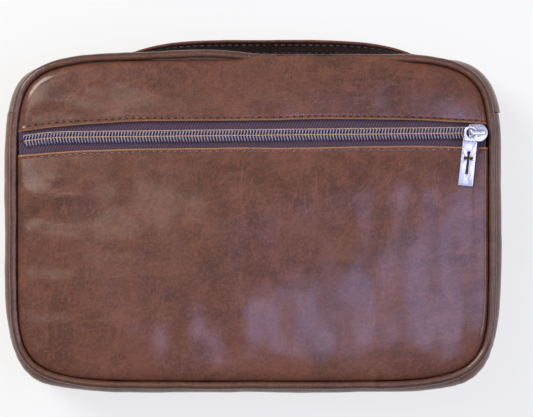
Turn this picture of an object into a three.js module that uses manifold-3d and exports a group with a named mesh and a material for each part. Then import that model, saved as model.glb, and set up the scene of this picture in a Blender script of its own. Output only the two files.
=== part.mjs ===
// A zipped leather carrying case with a Bible inside it, lying closed on its back cover.
// Millimetres. X runs along the spine, +Y points to the spine, +Z points up through the front cover.
// The origin is the middle of the back cover's outer face, on the surface that the case lies on.
import * as THREE from "three";
import { mergeVertices } from "three/addons/utils/BufferGeometryUtils.js";
import Module from "manifold-3d";

// ---- driving dimensions -------------------------------------------------------------------
const ROUNDNESS = 6.5; // exponent of the superellipse that every outline follows
const OUTLINE_STEPS = 44; // straight runs that make up a whole outline
const PIPING = { a: 125.3, b: 86.1, r: 2.1, cordR: 1.0, boreR: 1.35, lowZ: 3.3, highZ: 49.6 };
const PANEL = { a: 122.8, b: 83.6, thick: 1.3 };
const MID_Z = (PIPING.lowZ + PIPING.highZ) / 2; // where the two halves of the main zip meet
const FRONT_TOP = 52.0; // outer face of the front cover
const GAP = 0.3; // between pieces that touch on the real object

// Levels of the flat layers, as [bottom, top], from the back cover up to the front cover.
const LAYER = {
  back_stiffener: [1.6, 3.4],
  back_lining: [3.7, 4.3],
  bible_back_cover: [4.6, 6.4],
  back_sleeve: [6.7, 7.3],
  text_block: [7.6, 30.1],
  ribbon_marker: [30.4, 30.7],
  front_leaves: [31.0, 41.4],
  front_sleeve: [41.7, 42.3],
  bible_front_cover: [42.6, 44.4],
  front_lining: [44.7, 45.3],
  front_stiffener: [45.6, 47.3],
  pocket_back: [47.6, 48.4],
};
const BOARD = { a: 119.0, b: 80.0 }; // stiffening boards, inside the seams
const LINING = { a: 120.5, b: 81.5 };
const SLEEVE = { a: 119.8, b: 80.8, mouthY: 12 }; // the pockets that hold the book's own covers

const BIBLE = { halfX: 106, lowY: -72, highY: 75.5, corner: 7, spineY: [76.2, 77.7], spineHalfX: 103.5 };
const PAGES = { halfX: 102.5, lowY: -68.5, highY: 71.8 };
const RIBBON = { y: 52, width: 6, lowX: -101, highX: 107 };

const POCKET_ZIP = { y: 44.7, tilt: THREE.MathUtils.degToRad(0.6), opening: 13.6, z: 50.0, halfX: 118 };
const TAPE = { inner: 1.0, outer: 10.5, thick: 0.5 }; // measured from the zip's middle line
const COIL = { inner: 0.9, outer: 3.0, height: 2.0 };
const SLIDER = { halfX: 5.3, halfY: 4.7, plate: 0.8, capR: 4.9 };
const PULL = { eyeX: -3.6, eyeR: 2.2, ringR: 3.7, halfWidth: 3.9, tip: 27.8, thick: 1.3, z: 4.5, droop: 0.05 };
const POCKET_SLIDER_X = 117.0;
const POCKET_PULL_LEAN = THREE.MathUtils.degToRad(-5.8);
const MAIN_ZIP = { d: -2.7, endY: 56, sliderY: 44 }; // d is the offset of its tape from the piping line
const MAIN_COIL_END_Y = 36;

const SPINE = { d: -1.2, thick: 1.2, flapY: 56.5, lowZ: 5.9, highZ: 47.0 };
const SPINE_BOARD = { halfX: 68, y: [82.1, 83.4], z: [8, 44.6] };
const SPINE_LINING = { halfX: 74, y: [81.1, 81.7], z: [7.5, 44.2] };
// The handle bows out by rise at its middle and reaches the spine at reach. It droops by lean.
const HANDLE = { x: 9, reach: 80, splitX: 52, anchorX: 90, rise: 6.6, fall: 6.3, width: 20, lean: 0.28 };
const HANDLE_LAYERS = { handle_strap: [0, 0.7], handle_core: [1.0, 1.5], handle_lining: [1.8, 2.3] };

// ---- materials ----------------------------------------------------------------------------
const finish = (color, roughness, metalness = 0) => new THREE.MeshStandardMaterial({ color, roughness, metalness });
const leather = finish("#784f44", 0.45);
const darkLeather = finish("#30262b", 0.6);
const pipingLeather = finish("#5f443d", 0.4);
const liningCloth = finish("#3a2c2a", 0.9);
const board = finish("#8f877a", 0.9);
const zipTape = finish("#5a4350", 0.85);
const zipCoil = finish("#6a5050", 0.4);
const nickel = finish("#c9cbd0", 0.2, 1);
const bookLeather = finish("#1f1b1c", 0.5);
const paper = finish("#ece4d0", 0.8);
const satin = finish("#7d1f2b", 0.4);

// ---- outlines and builders ----------------------------------------------------------------
const wasm = await Module();
wasm.setup();
const group = new THREE.Group();
const power = (v) => Math.sign(v) * Math.abs(v) ** (2 / ROUNDNESS);
const angleAtY = (y, b) => Math.asin((y / b) ** (ROUNDNESS / 2));

// The angles of a stretch: its two ends, and between them a grid of angles that all pieces share, so
// that pieces lying side by side bend at the same places.
function anglesBetween(start, end) {
  const step = (2 * Math.PI) / OUTLINE_STEPS;
  const margin = 0.02;
  const angles = [start];
  for (let i = Math.ceil((start + margin) / step); i * step < end - margin; i++) angles.push(i * step);
  return [...angles, end];
}

// A stretch of the superellipse x = a cos^(2/n), y = b sin^(2/n). Equal angles put its points close
// together at the corners and far apart on the flat sides.
class OutlineCurve extends THREE.Curve {
  constructor(a, b, start, end) {
    super();
    Object.assign(this, { a, b, angles: anglesBetween(start, end) });
  }
  get steps() {
    return this.angles.length - 1;
  }
  getPoint(t, target = new THREE.Vector3()) {
    const i = Math.max(0, Math.min(Math.floor(t * this.steps), this.steps - 1));
    const angle = THREE.MathUtils.lerp(this.angles[i], this.angles[i + 1], t * this.steps - i);
    return target.set(this.a * power(Math.cos(angle)), this.b * power(Math.sin(angle)), 0);
  }
  getUtoTmapping(u) {
    return u;
  }
}

function add(name, geometry, material, parent = group) {
  const mesh = new THREE.Mesh(geometry, material);
  mesh.name = name;
  parent.add(mesh);
  return mesh;
}

function bareCopy(geometry) {
  const copy = geometry.index ? geometry.toNonIndexed() : geometry.clone();
  copy.deleteAttribute("normal");
  copy.deleteAttribute("uv");
  return mergeVertices(copy, 1e-4);
}

function toSolid(geometry) {
  const merged = bareCopy(geometry);
  return new wasm.Manifold(
    new wasm.Mesh({
      numProp: 3,
      vertProperties: merged.attributes.position.array,
      triVerts: new Uint32Array(merged.index.array),
    }),
  );
}

function toGeometry(solid) {
  const { numProp, vertProperties, triVerts } = solid.getMesh();
  const points = new Float32Array((vertProperties.length / numProp) * 3);
  for (let i = 0; i < points.length / 3; i++) {
    points.set(vertProperties.subarray(i * numProp, i * numProp + 3), i * 3);
  }
  const geometry = new THREE.BufferGeometry();
  geometry.setAttribute("position", new THREE.BufferAttribute(points, 3));
  geometry.setIndex(new THREE.BufferAttribute(triVerts, 1));
  return geometry;
}

function box(low, high) {
  const size = high.map((v, i) => v - low[i]);
  return new THREE.BoxGeometry(...size).translate(...low.map((v, i) => v + size[i] / 2));
}

// A flat plate with the case's outline, between two levels.
function plate(a, b, [low, high]) {
  const points = new OutlineCurve(a, b, 0, 2 * Math.PI).getPoints(OUTLINE_STEPS).slice(0, OUTLINE_STEPS);
  const shape = new THREE.Shape(points.map((p) => new THREE.Vector2(p.x, p.y)));
  return new THREE.ExtrudeGeometry(shape, { depth: high - low, bevelEnabled: false }).translate(0, 0, low);
}

function roundedPlate(halfX, lowY, highY, r, [low, high]) {
  const shape = new THREE.Shape();
  shape.absarc(halfX - r, highY - r, r, 0, Math.PI / 2);
  shape.absarc(-halfX + r, highY - r, r, Math.PI / 2, Math.PI);
  shape.absarc(-halfX + r, lowY + r, r, Math.PI, 1.5 * Math.PI);
  shape.absarc(halfX - r, lowY + r, r, 1.5 * Math.PI, 2 * Math.PI);
  const options = { depth: high - low, bevelEnabled: false, curveSegments: 4 };
  return new THREE.ExtrudeGeometry(shape, options).translate(0, 0, low);
}

// Sweeps a closed profile of [outward offset, height] points along a stretch of the piping line.
function sweep(profile, start, end, hole) {
  const curve = new OutlineCurve(PIPING.a, PIPING.b, start, end);
  const toPath = (points) => points.map(([d, z]) => new THREE.Vector2(-z, -d));
  const shape = new THREE.Shape(toPath(profile));
  if (hole) shape.holes.push(new THREE.Path(toPath(hole).reverse()));
  return new THREE.ExtrudeGeometry(shape, { steps: curve.steps, bevelEnabled: false, extrudePath: curve });
}

const ring = (r, sides, z) =>
  Array.from({ length: sides }, (_, i) => {
    const angle = (2 * Math.PI * (i + 0.5)) / sides;
    return [r * Math.cos(angle), z + r * Math.sin(angle)];
  });
const rectangle = ([d0, d1], [z0, z1]) => [[d0, z0], [d1, z0], [d1, z1], [d0, z1]];
const mirrored = (profile) => profile.map(([d, z]) => [d, 2 * MID_Z - z]);

// The stretch of the piping line that the main zip follows: left side, fore-edge, right side.
function zipStretch(endY = MAIN_ZIP.endY, startY = MAIN_ZIP.endY) {
  return [Math.PI - angleAtY(startY, PIPING.b), 2 * Math.PI + angleAtY(endY, PIPING.b)];
}

// ---- piping round the front and back covers ------------------------------------------------
// The welt is a leather sleeve round a cord. Its ends meet at the spine side, left of the middle.
function makePiping(side, z) {
  const joinAngle = Math.PI / 2 + 0.028;
  const stretch = [joinAngle + 0.0003, joinAngle + 2 * Math.PI - 0.0003];
  add(`${side}_piping_welt`, sweep(ring(PIPING.r, 8, z), ...stretch, ring(PIPING.boreR, 6, z)), pipingLeather);
  add(`${side}_piping_cord`, sweep(ring(PIPING.cordR, 6, z), ...stretch), liningCloth);
}

// ---- gusset: leather strips, zip tapes and coils on three sides ----------------------------
const GUSSET_PROFILE = [
  [1.4, 47.0], [3.5, 44.4], [4.6, 40.8], [4.0, 36.6], [1.6, 33.4], [-1.2, 31.7],
  [-1.9, 32.6], [0.6, 34.6], [2.6, 37.4], [3.2, 40.8], [2.3, 43.8], [0.2, 46.4],
];

function makeGusset(side, orient) {
  const d = MAIN_ZIP.d;
  const tape = rectangle([d, d + TAPE.thick], [MID_Z + TAPE.inner, MID_Z + TAPE.outer]);
  const coilD = [d + TAPE.thick + GAP, d + TAPE.thick + GAP + COIL.height];
  const coil = rectangle(coilD, [MID_Z + COIL.inner, MID_Z + COIL.outer]);
  add(`${side}_gusset_strip`, sweep(orient(GUSSET_PROFILE), ...zipStretch()), leather);
  add(`main_zip_tape_${side}`, sweep(orient(tape), ...zipStretch()), zipTape);
  add(`main_zip_coil_${side}`, sweep(orient(coil), ...zipStretch(MAIN_COIL_END_Y, MAIN_ZIP.endY - 6)), zipCoil);
}

// ---- zip slider and pull, shared by the pocket zip and the main zip ------------------------
// Local frame: x along the zip towards its closed end, y across it, z away from the tape's underside.
function sliderBody() {
  const top = new THREE.Shape();
  top.moveTo(-SLIDER.halfX, -SLIDER.halfY + 1);
  top.lineTo(-SLIDER.halfX + 1, -SLIDER.halfY);
  top.lineTo(0, -SLIDER.halfY);
  top.absarc(SLIDER.halfX - SLIDER.capR, 0, SLIDER.capR, -1.28, 1.28);
  top.lineTo(-SLIDER.halfX + 1, SLIDER.halfY);
  top.lineTo(-SLIDER.halfX, SLIDER.halfY - 1);
  const underTop = TAPE.thick + GAP + COIL.height + 0.3;
  const lowPlate = box([-SLIDER.halfX, -4.2, -1.3], [SLIDER.halfX - 1, 4.2, -0.6]);
  const highPlate = new THREE.ExtrudeGeometry(top, { depth: SLIDER.plate, bevelEnabled: false, curveSegments: 8 });
  let solid = toSolid(highPlate.translate(0, 0, underTop)).add(toSolid(lowPlate));
  const overlap = 0.2; // how far joined pieces run into each other
  solid = solid.add(toSolid(box([2.3, -0.6, -0.6 - overlap], [4.0, 0.6, underTop + overlap])));
  for (const side of [-1, 1]) {
    const y = [side * SLIDER.halfY, side * (SLIDER.halfY - 0.8)].sort((p, q) => p - q);
    solid = solid.add(toSolid(box([-SLIDER.halfX + 1, y[0], 1.1], [1.0, y[1], underTop + overlap])));
  }
  return toGeometry(solid.add(toSolid(sliderBridge())));
}

// The bridge that the pull hangs on, a low arch with rounded shoulders.
function sliderBridge() {
  const baseZ = TAPE.thick + GAP + COIL.height + 0.3 + SLIDER.plate - 0.1;
  const topZ = 7.6;
  const arch = new THREE.Shape();
  arch.moveTo(-4.2, baseZ);
  arch.lineTo(-4.2, topZ - 1.4);
  arch.quadraticCurveTo(-4.2, topZ, -2.8, topZ);
  arch.lineTo(2.6, topZ);
  arch.quadraticCurveTo(4.4, topZ, 4.6, baseZ);
  arch.lineTo(3.4, baseZ);
  arch.quadraticCurveTo(3.4, topZ - 1.1, 2.2, topZ - 1.1);
  arch.lineTo(-2.4, topZ - 1.1);
  arch.quadraticCurveTo(-3.0, topZ - 1.1, -3.0, topZ - 1.7);
  arch.lineTo(-3.0, baseZ);
  const solid = new THREE.ExtrudeGeometry(arch, { depth: 2.6, bevelEnabled: false, curveSegments: 3 });
  return solid.rotateX(Math.PI / 2).translate(0, 1.3, 0);
}

// A flat pull with a round eye and a cross cut through it. It points along -y from its eye.
function pullTab() {
  const tab = new THREE.Shape();
  const shoulder = 0.25; // angle where the ring runs into the straight sides
  tab.absarc(0, 0, PULL.ringR, -shoulder, Math.PI + shoulder);
  tab.lineTo(-PULL.halfWidth, -PULL.tip);
  tab.lineTo(PULL.halfWidth, -PULL.tip);
  const eye = new THREE.Path().absarc(0, 0, PULL.eyeR, 0, 2 * Math.PI, true);
  const [head, barY, foot, stem, arm, barHalf] = [-9.8, -13.4, -21.5, 0.65, 2.3, 0.75];
  const cross = new THREE.Path();
  const corners = [
    [-stem, head], [-stem, barY + barHalf], [-arm, barY + barHalf], [-arm, barY - barHalf],
    [-stem, barY - barHalf], [-stem, foot], [stem, foot], [stem, barY - barHalf],
    [arm, barY - barHalf], [arm, barY + barHalf], [stem, barY + barHalf], [stem, head],
  ];
  cross.setFromPoints(corners.map(([x, y]) => new THREE.Vector2(x, y)));
  tab.holes.push(eye, cross);
  return new THREE.ExtrudeGeometry(tab, { depth: PULL.thick, bevelEnabled: false, curveSegments: 8 });
}

function makeSlider(prefix, place, pullLean, pullDroop) {
  const frame = new THREE.Group();
  place(frame);
  group.add(frame);
  add(`${prefix}_slider`, sliderBody(), nickel, frame);
  const pull = add(`${prefix}_pull_tab`, pullTab(), nickel, frame);
  pull.position.set(PULL.eyeX, 0, PULL.z);
  pull.rotation.set(pullDroop, 0, pullLean, "ZXY");
}

// ---- front cover ---------------------------------------------------------------------------
function makePocketZip() {
  const zip = new THREE.Group();
  zip.position.set(0, POCKET_ZIP.y, POCKET_ZIP.z);
  zip.rotation.z = POCKET_ZIP.tilt;
  group.add(zip);
  const x = POCKET_ZIP.halfX;
  const low = TAPE.thick + GAP;
  const coilTop = low + COIL.height;
  const coilEnd = POCKET_SLIDER_X - SLIDER.halfX - 0.5;
  add("pocket_zip_tape_upper", box([-x, TAPE.inner, 0], [x, TAPE.outer, TAPE.thick]), zipTape, zip);
  add("pocket_zip_tape_lower", box([-x, -TAPE.outer, 0], [x, -TAPE.inner, TAPE.thick]), zipTape, zip);
  add("pocket_zip_coil_upper", box([-x + 4, COIL.inner, low], [coilEnd, COIL.outer, coilTop]), zipCoil, zip);
  add("pocket_zip_coil_lower", box([-x + 4, -COIL.outer, low], [coilEnd, -COIL.inner, coilTop]), zipCoil, zip);
  add("pocket_zip_stop", box([-x + 1.5, -3.2, low], [-x + 3.5, 3.2, 2.2]), nickel, zip);
}

function makeFrontCover() {
  const outer = toSolid(plate(PANEL.a, PANEL.b, [FRONT_TOP - PANEL.thick + 0.1, FRONT_TOP]));
  const half = POCKET_ZIP.opening / 2;
  const above = box([-200, half, -9], [200, 100, 9]);
  const below = box([-200, -200, -9], [200, -half, 9]);
  for (const cut of [above, below]) cut.rotateZ(POCKET_ZIP.tilt).translate(0, POCKET_ZIP.y, FRONT_TOP);
  add("front_upper_panel", toGeometry(outer.intersect(toSolid(above))), leather);
  add("front_pocket_panel", toGeometry(outer.intersect(toSolid(below))), leather);
  add("pocket_back_panel", plate(LINING.a, LINING.b, LAYER.pocket_back), liningCloth);
  add("front_stiffener", plate(BOARD.a, BOARD.b, LAYER.front_stiffener), board);
  add("front_lining", plate(LINING.a, LINING.b, LAYER.front_lining), liningCloth);
  makeSleeve("front_sleeve", LAYER.front_sleeve);
}

function makeSleeve(name, layer) {
  const whole = toSolid(plate(SLEEVE.a, SLEEVE.b, layer));
  const kept = toSolid(box([-200, -200, 0], [200, SLEEVE.mouthY, 60]));
  add(name, toGeometry(whole.intersect(kept)), liningCloth);
}

// ---- back cover ----------------------------------------------------------------------------
function makeBackCover() {
  add("back_panel", plate(PANEL.a, PANEL.b, [0, PANEL.thick]), leather);
  add("back_stiffener", plate(BOARD.a, BOARD.b, LAYER.back_stiffener), board);
  add("back_lining", plate(LINING.a, LINING.b, LAYER.back_lining), liningCloth);
  makeSleeve("back_sleeve", LAYER.back_sleeve);
}

// ---- spine and handle ----------------------------------------------------------------------
function makeSpine() {
  const wall = rectangle([SPINE.d - SPINE.thick, SPINE.d], [SPINE.lowZ, SPINE.highZ]);
  const end = angleAtY(SPINE.flapY, PIPING.b);
  add("spine_panel", sweep(wall, end, Math.PI - end), leather);
  const flat = (x, y, z) => box([-x, y[0], z[0]], [x, y[1], z[1]]);
  add("spine_stiffener", flat(SPINE_BOARD.halfX, SPINE_BOARD.y, SPINE_BOARD.z), board);
  add("spine_lining", flat(SPINE_LINING.halfX, SPINE_LINING.y, SPINE_LINING.z), liningCloth);
}

// Outer face of the spine at x, measured from the piping line's straight part.
const spineFace = (x) => PIPING.b * ((1 - Math.abs(x / PIPING.a) ** ROUNDNESS) ** (1 / ROUNDNESS) - 1) + SPINE.d;

// A layer of the handle between x = low and x = high, measured from the handle's middle. Its outer face
// follows a flat-topped bow down to the sewn ends, and it twists from flat at the ends to its droop.
function handleBand(low, high, [outer, inner], width, steps) {
  const thickness = HANDLE_LAYERS.handle_lining[1];
  const band = new THREE.BoxGeometry(high - low, inner - outer, width, steps, 1, 1);
  const points = band.translate((low + high) / 2, -(outer + inner) / 2, 0).attributes.position;
  for (let i = 0; i < points.count; i++) {
    const x = points.getX(i);
    const bow = HANDLE.rise - HANDLE.fall * Math.abs(x / HANDLE.reach) ** 4;
    const y = Math.max(bow, spineFace(HANDLE.x + x) + 0.4 + thickness) + points.getY(i);
    const lean = HANDLE.lean * Math.max(0, 1 - Math.abs(x / (HANDLE.reach - 5)) ** 4);
    const z = points.getZ(i);
    points.setY(i, y * Math.cos(lean) + z * Math.sin(lean));
    points.setZ(i, z * Math.cos(lean) - y * Math.sin(lean));
  }
  return band.translate(HANDLE.x, PIPING.b, MID_Z);
}

function makeHandle() {
  const { splitX, anchorX, width } = HANDLE;
  const materials = { handle_strap: leather, handle_core: board, handle_lining: darkLeather };
  for (const [name, layer] of Object.entries(HANDLE_LAYERS)) {
    const inset = name === "handle_core" ? 2 : 0;
    add(name, handleBand(-splitX + inset, splitX - inset, layer, width - 2 * inset, 14), materials[name]);
  }
  const whole = [HANDLE_LAYERS.handle_strap[0], HANDLE_LAYERS.handle_lining[1]];
  add("handle_end_left", handleBand(-anchorX, -splitX - 0.5, whole, width, 8), leather);
  add("handle_end_right", handleBand(splitX + 0.5, anchorX, whole, width, 8), leather);
}

// ---- the book ------------------------------------------------------------------------------
function makeBible() {
  for (const side of ["back", "front"]) {
    const cover = roundedPlate(BIBLE.halfX, BIBLE.lowY, BIBLE.highY, BIBLE.corner, LAYER[`bible_${side}_cover`]);
    add(`bible_${side}_cover`, cover, bookLeather);
  }
  const spineZ = [LAYER.bible_back_cover[0], LAYER.bible_front_cover[1]];
  const [nearY, farY] = BIBLE.spineY;
  add("bible_spine", box([-BIBLE.spineHalfX, nearY, spineZ[0]], [BIBLE.spineHalfX, farY, spineZ[1]]), bookLeather);
  const block = (layer) => box([-PAGES.halfX, PAGES.lowY, layer[0]], [PAGES.halfX, PAGES.highY, layer[1]]);
  add("text_block", block(LAYER.text_block), paper);
  add("front_leaves", block(LAYER.front_leaves), paper);
  const [low, high] = LAYER.ribbon_marker;
  const ribbonY = [RIBBON.y - RIBBON.width / 2, RIBBON.y + RIBBON.width / 2];
  add("ribbon_marker", box([RIBBON.lowX, ribbonY[0], low], [RIBBON.highX, ribbonY[1], high]), satin);
}

// ---- assembly ------------------------------------------------------------------------------
makePiping("back", PIPING.lowZ);
makePiping("front", PIPING.highZ);
makeGusset("front", (profile) => profile);
makeGusset("back", mirrored);
makeBackCover();
makeFrontCover();
makePocketZip();
makeSpine();
makeHandle();
makeBible();

makeSlider(
  "pocket",
  (frame) => {
    const { y, z, tilt } = POCKET_ZIP;
    frame.position.set(POCKET_SLIDER_X * Math.cos(tilt), y + POCKET_SLIDER_X * Math.sin(tilt), z);
    frame.rotation.z = tilt;
  },
  POCKET_PULL_LEAN - POCKET_ZIP.tilt,
  PULL.droop,
);

// On the right side wall the zip runs along +Y, so the slider's x is +Y and its z is +X.
makeSlider(
  "main",
  (frame) => {
    const along = new THREE.Vector3(0, 1, 0);
    const across = new THREE.Vector3(0, 0, 1);
    const outward = new THREE.Vector3(1, 0, 0);
    frame.quaternion.setFromRotationMatrix(new THREE.Matrix4().makeBasis(along, across, outward));
    frame.position.set(PIPING.a + MAIN_ZIP.d, MAIN_ZIP.sliderY, MID_Z);
  },
  -Math.PI / 2,
  0,
);

export default group;
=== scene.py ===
"""A zipped leather Bible case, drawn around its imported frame. Lengths are metres, heights are up from the table."""

import math

import bmesh
import bpy
import numpy as np
from bpy.props import FloatProperty, FloatVectorProperty, PointerProperty
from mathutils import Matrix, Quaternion, Vector


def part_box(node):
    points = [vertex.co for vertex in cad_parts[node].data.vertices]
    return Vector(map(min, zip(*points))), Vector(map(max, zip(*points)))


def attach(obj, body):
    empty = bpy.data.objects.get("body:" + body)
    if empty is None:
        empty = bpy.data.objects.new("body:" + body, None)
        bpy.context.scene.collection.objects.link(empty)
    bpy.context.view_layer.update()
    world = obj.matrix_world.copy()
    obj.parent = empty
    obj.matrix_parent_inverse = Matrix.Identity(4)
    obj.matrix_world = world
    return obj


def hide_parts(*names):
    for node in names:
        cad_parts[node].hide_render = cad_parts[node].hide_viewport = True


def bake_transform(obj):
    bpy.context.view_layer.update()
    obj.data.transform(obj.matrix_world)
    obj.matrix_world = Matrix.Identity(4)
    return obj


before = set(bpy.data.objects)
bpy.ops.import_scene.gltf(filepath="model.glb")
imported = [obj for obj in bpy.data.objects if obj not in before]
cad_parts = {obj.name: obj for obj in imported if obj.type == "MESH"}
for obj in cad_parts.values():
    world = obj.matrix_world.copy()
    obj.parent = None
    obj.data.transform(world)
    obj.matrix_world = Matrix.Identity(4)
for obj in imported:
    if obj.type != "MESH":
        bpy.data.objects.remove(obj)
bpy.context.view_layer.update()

bl_info = {
    "name": "Zipped Bible case",
    "version": (1, 0, 0),
    "blender": (4, 5, 0),
    "location": "3D View > Sidebar > Bible case",
    "description": "Builds a zipped leather Bible case with its pocket, handle and book",
    "category": "Object",
}

MM = 0.001


def box_size(node):
    """Lowest and highest corner of a frame node, as two arrays."""
    low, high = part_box(node)
    return np.array(low), np.array(high)


# ---- sizes that come from the frame --------------------------------------------------------
ROUNDNESS = 6.5  # exponent of the superellipse that every outline follows
CORD_LOW, CORD_HIGH = box_size("front_piping_cord")
CORD_RADIUS = 1.0 * MM
HALF_X = CORD_HIGH[0] - CORD_RADIUS
HALF_Y = CORD_HIGH[1] - CORD_RADIUS
FRONT_PIPING_Z = (CORD_LOW[2] + CORD_HIGH[2]) / 2
BACK_PIPING_Z = (box_size("back_piping_cord")[0][2] + box_size("back_piping_cord")[1][2]) / 2
MID_Z = (FRONT_PIPING_Z + BACK_PIPING_Z) / 2
FRONT_TOP = box_size("front_pocket_panel")[1][2]
SPINE_LOW, SPINE_HIGH = box_size("spine_panel")
STRAP_LOW, STRAP_HIGH = box_size("handle_strap")
HANDLE_X = (STRAP_LOW[0] + STRAP_HIGH[0]) / 2
ZIP_TILT = math.radians(0.6)
ZIP_Y = 44.7 * MM
ZIP_TAPE_Z = box_size("pocket_zip_tape_upper")[1][2]


# ---- properties ----------------------------------------------------------------------------
def length_property(name, default, description):
    return FloatProperty(name=name, default=default, min=0.0, unit="LENGTH", precision=5, description=description)


def colour_property(name, code, description):
    return FloatVectorProperty(name=name, default=linear(code), size=4, min=0.0, max=1.0, subtype="COLOR",
                               description=description)


def linear(code):
    """Turns an sRGB hex colour into linear RGBA."""
    values = [int(code[i:i + 2], 16) / 255 for i in (1, 3, 5)]
    return tuple(v / 12.92 if v <= 0.04045 else ((v + 0.055) / 1.055) ** 2.4 for v in values) + (1.0,)


class CaseSizes(bpy.types.PropertyGroup):
    piping_radius: length_property("Piping radius", 2.1 * MM, "Radius of the leather welt round each cover")
    padding: length_property("Padding", 1.6 * MM, "How far the front cover swells above its edges")
    stitch_pitch: length_property("Stitch pitch", 3.65 * MM, "Distance from one stitch to the next")
    thread_radius: length_property("Thread radius", 0.34 * MM, "Half the thickness of the sewing thread")
    coil_pitch: length_property("Coil pitch", 1.6 * MM, "Distance from one turn of a zip coil to the next")
    coil_wire: length_property("Coil wire radius", 0.36 * MM, "Half the thickness of the nylon of a zip coil")
    zip_opening: length_property("Zip opening", 13.8 * MM, "Gap between the leather folds beside the pocket zip")


class CaseColours(bpy.types.PropertyGroup):
    leather: colour_property("Leather", "#5f3527", "Main brown of the worn leather")
    leather_dark: colour_property("Leather, dark", "#3f241c", "Darkest patches of the leather")
    leather_light: colour_property("Leather, light", "#7c4c38", "Rubbed patches of the leather")
    # This colour is rubbed finish on the piping's crest, and a painted highlight along the pocket zip's folds.
    leather_worn_and_highlight: colour_property("Leather, worn edge", "#b9855a", "Folds where the finish has rubbed through")
    piping: colour_property("Piping", "#47281f", "Leather of the piping")
    strap_lining: colour_property("Handle lining", "#1d171d", "Inner face of the handle")
    tape: colour_property("Zip tape", "#5c4556", "Woven tape of the zips")
    # The coil's pale lilac grey is lighter than the dark nylon: it paints the glints on the coil.
    coil: colour_property("Zip coil", "#a89db2", "Nylon coils of the zips")
    coil_thread: colour_property("Coil thread", "#dcb287", "Thread that sews the coils to their tapes")
    thread: colour_property("Thread", "#2c1a1a", "Sewing thread")
    nickel: colour_property("Nickel", "#cbccd1", "Plating of the sliders and pulls")
    lining: colour_property("Lining", "#3b2c2a", "Woven lining inside the case")
    book: colour_property("Book cover", "#1f1b1c", "Bonded leather of the book")
    paper: colour_property("Paper", "#ece4d0", "Pages of the book")
    ribbon: colour_property("Ribbon", "#7d1f2b", "Satin ribbon marker")


def sizes():
    return bpy.context.scene.case_sizes


def colour(name):
    return tuple(getattr(bpy.context.scene.case_colours, name))


# ---- meshes --------------------------------------------------------------------------------
def build(name, points, faces, body, surface, smooth=True, fix_normals=True):
    """Makes an object from arrays, turns its faces outwards, and gives it a body and a material."""
    mesh = bpy.data.meshes.new(name)
    mesh.from_pydata(np.asarray(points).tolist(), [], faces)
    if fix_normals:
        edit = bmesh.new()
        edit.from_mesh(mesh)
        bmesh.ops.remove_doubles(edit, verts=edit.verts, dist=1e-7)
        bmesh.ops.recalc_face_normals(edit, faces=edit.faces)
        bmesh.ops.triangulate(edit, faces=[face for face in edit.faces if len(face.verts) > 4])
        edit.to_mesh(mesh)
        edit.free()
    mesh.polygons.foreach_set("use_smooth", [smooth] * len(mesh.polygons))
    mesh.materials.append(surface)
    piece = bpy.data.objects.new(name, mesh)
    bpy.context.scene.collection.objects.link(piece)
    if body:
        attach(piece, body)
    return piece


def grid_faces(rows, columns, wrap_rows=False, wrap_columns=False):
    """Quads between neighbouring points of a rows x columns grid, as an array of corner numbers."""
    i, j = np.meshgrid(np.arange(rows if wrap_rows else rows - 1),
                       np.arange(columns if wrap_columns else columns - 1), indexing="ij")
    down, right = (i + 1) % rows, (j + 1) % columns
    corners = [i * columns + j, down * columns + j, down * columns + right, i * columns + right]
    return np.stack(corners, axis=-1).reshape(-1, 4)


def tube_faces(rings, sides, closed=False):
    """Quads of a tube of rings, with a flat cap at both ends unless it closes on itself."""
    faces = grid_faces(rings, sides, wrap_rows=closed, wrap_columns=True).tolist()
    if not closed:
        faces += [list(range(sides)), list(range((rings - 1) * sides, rings * sides))]
    return faces


def outline(spacing, start=0.0, stop=2 * math.pi, grow=0.0):
    """Evenly spaced points of the case's outline, between two angles at its middle.

    The outline is |x/a|^n + |y/b|^n = 1, so r = (|cos t / a|^n + |sin t / b|^n)^(-1/n). It's then moved
    outwards by grow. Returns the points, the outward directions and the distance along the outline."""
    angle = np.linspace(start, stop, 8001)

    def at(t):
        c, s = np.cos(t), np.sin(t)
        r = (np.abs(c / HALF_X) ** ROUNDNESS + np.abs(s / HALF_Y) ** ROUNDNESS) ** (-1 / ROUNDNESS)
        x, y = r * c, r * s
        out = np.c_[np.sign(x) * np.abs(x / HALF_X) ** (ROUNDNESS - 1) / HALF_X,
                    np.sign(y) * np.abs(y / HALF_Y) ** (ROUNDNESS - 1) / HALF_Y]
        out /= np.linalg.norm(out, axis=1, keepdims=True)
        return np.c_[x, y] + grow * out, out

    dense = at(angle)[0]
    along = np.r_[0, np.cumsum(np.linalg.norm(np.diff(dense, axis=0), axis=1))]
    count = max(2, round(along[-1] / spacing))
    distance = np.linspace(0, along[-1], count + 1)
    points, out = at(np.interp(distance, along, angle))
    return points, out, distance


def side_angle(y, side):
    """Angle at the middle of the outline's point at height y, on the right (1) or the left (-1)."""
    x = HALF_X * (1 - abs(y / HALF_Y) ** ROUNDNESS) ** (1 / ROUNDNESS)
    return math.atan2(y, side * x)


def waves(t, seed, count=5, longest=0.09, fall=1.6):
    """A smooth wandering value of about -1 to 1: a sum of sines, each shorter and lower than the last."""
    random = np.random.default_rng(seed)
    total = np.zeros_like(np.asarray(t, dtype=float))
    weight = 0.0
    for k in range(count):
        size = fall ** -k
        total += size * np.sin(2 * math.pi * t * fall ** k / longest + random.uniform(0, 2 * math.pi))
        weight += size
    return total / weight * 1.6


def waves_2d(x, y, seed, count=7, longest=0.07, fall=1.45):
    """The same over a surface: a sum of sines, each running in its own direction."""
    random = np.random.default_rng(seed)
    total = np.zeros_like(x)
    for k in range(count):
        heading = random.uniform(0, math.pi)
        run = (x * math.cos(heading) + y * math.sin(heading)) * fall ** k / longest
        total += fall ** (-1.35 * k) * np.sin(2 * math.pi * run + random.uniform(0, 2 * math.pi))
    return total / 1.6


def smooth_step(value, low, high):
    t = np.clip((value - low) / (high - low), 0, 1)
    return t * t * (3 - 2 * t)


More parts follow.
